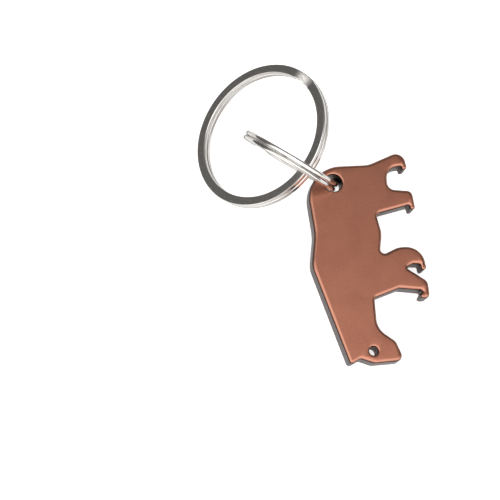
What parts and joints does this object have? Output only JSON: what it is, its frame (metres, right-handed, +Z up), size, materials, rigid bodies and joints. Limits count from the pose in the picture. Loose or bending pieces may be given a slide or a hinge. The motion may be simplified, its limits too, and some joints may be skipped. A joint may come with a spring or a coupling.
{
  "type": "keychain bottle opener",
  "caption": "Flat metal plate cut as a walking bear, with a cap-lifting mouth between its jaw and front leg, on a small split ring that carries a larger key ring.",
  "frame": {"origin": "on the table that the opener lies on, under the middle of the whole object's box", "axes": "+Z up; +Y from the bear's muzzle towards the key ring, along the object's longest extent; +X towards the bear's paws"},
  "size_m": [0.0609, 0.0818, 0.0268],
  "materials": {
    "copper_brown_metal": "satin anodised copper brown with fine mottling",
    "small_ring_nickel": "bright nickel plate on spring steel",
    "key_ring_nickel": "bright nickel plate on spring steel, duller on the flat coil faces"
  },
  "bodies": {
    "small_ring": {"small_ring": "small_ring_nickel"},
    "plate": {"opener_plate": "copper_brown_metal"},
    "key_ring": {"key_ring": "key_ring_nickel"}
  },
  "joints": [
    {"name": "plate_swing", "type": "hinge", "parent": "small_ring", "child": "plate", "pos_m": [0.00543, 0.0068, 0.01073], "axis": [0.1605, -0.1225, 0.9794], "range_deg": [-8, 100]},
    {"name": "key_ring_swing", "type": "hinge", "parent": "small_ring", "child": "key_ring", "pos_m": [-0.00151, 0.0075, 0.01873], "axis": [0.5858, 0.7028, 0.4037], "range_deg": [0, 150]}
  ]
}
